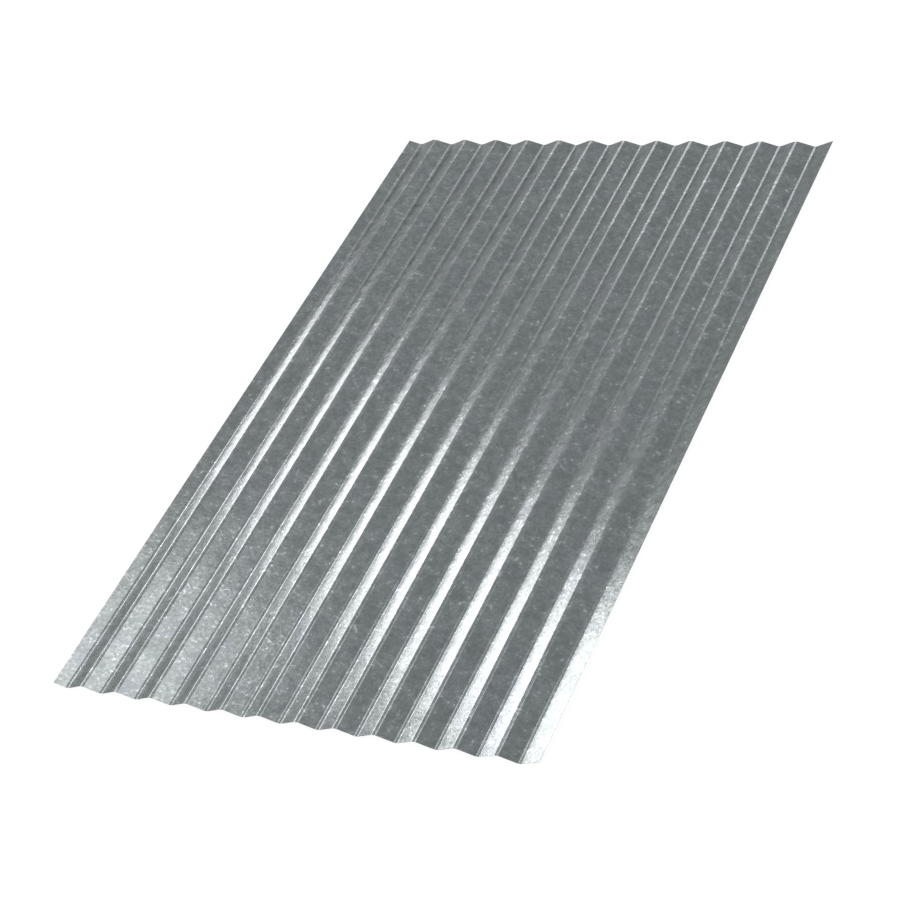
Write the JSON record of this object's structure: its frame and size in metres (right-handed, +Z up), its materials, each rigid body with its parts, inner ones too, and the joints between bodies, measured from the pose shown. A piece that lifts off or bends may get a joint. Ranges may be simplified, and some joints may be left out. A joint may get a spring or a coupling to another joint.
{
  "type": "corrugated metal sheet",
  "caption": "Zinc-coated steel sheet rolled into shallow straight-sided waves with rounded crests and valleys and two side edges that lap, for roofs, walls and fences.",
  "frame": {"origin": "middle of the sheet's width and length, on the floor under its valleys", "axes": "+X across the waves, towards the edge that rises past the crests; +Y along the waves; +Z up, out of the upper face"},
  "size_m": [1.1812, 1.87, 0.0174],
  "materials": {
    "galvanised_steel": "dull hot-dip zinc with a fine cloudy spangle"
  },
  "bodies": {
    "root": {"corrugated_sheet": "galvanised_steel"}
  },
  "joints": []
}
